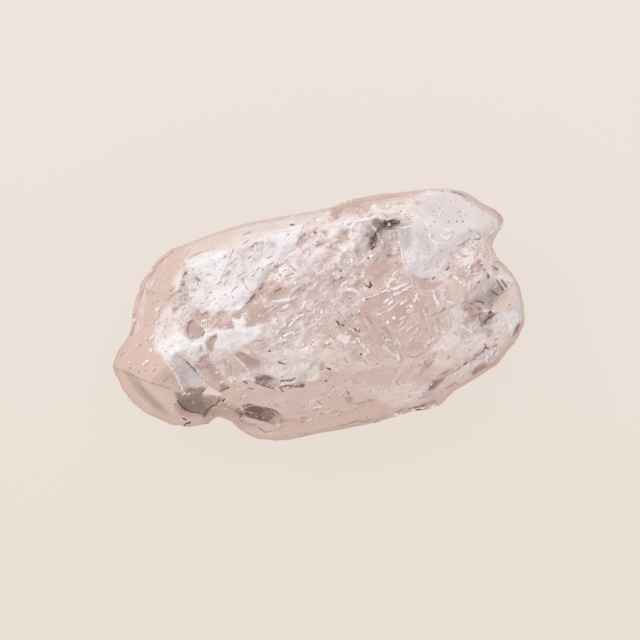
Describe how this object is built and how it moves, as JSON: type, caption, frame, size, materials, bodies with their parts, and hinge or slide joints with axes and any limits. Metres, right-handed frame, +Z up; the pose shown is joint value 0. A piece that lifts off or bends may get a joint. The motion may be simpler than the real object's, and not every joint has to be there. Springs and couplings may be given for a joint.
{
  "type": "morganite crystal",
  "caption": "Rough pale pink beryl crystal, pointed at one end and broken at the other, lying on its flattest side.",
  "frame": {"origin": "on the surface that the stone rests on, under the middle of its box", "axes": "+X along the stone from its pointed end to its broken end, +Y towards its steep back edge, +Z up"},
  "size_m": [0.0312, 0.0168, 0.0145],
  "materials": {
    "morganite": "clear pale pink crystal with glassy flat faces, etched and broken in the middle of its top"
  },
  "bodies": {
    "root": {"morganite_crystal": "morganite"}
  },
  "joints": []
}
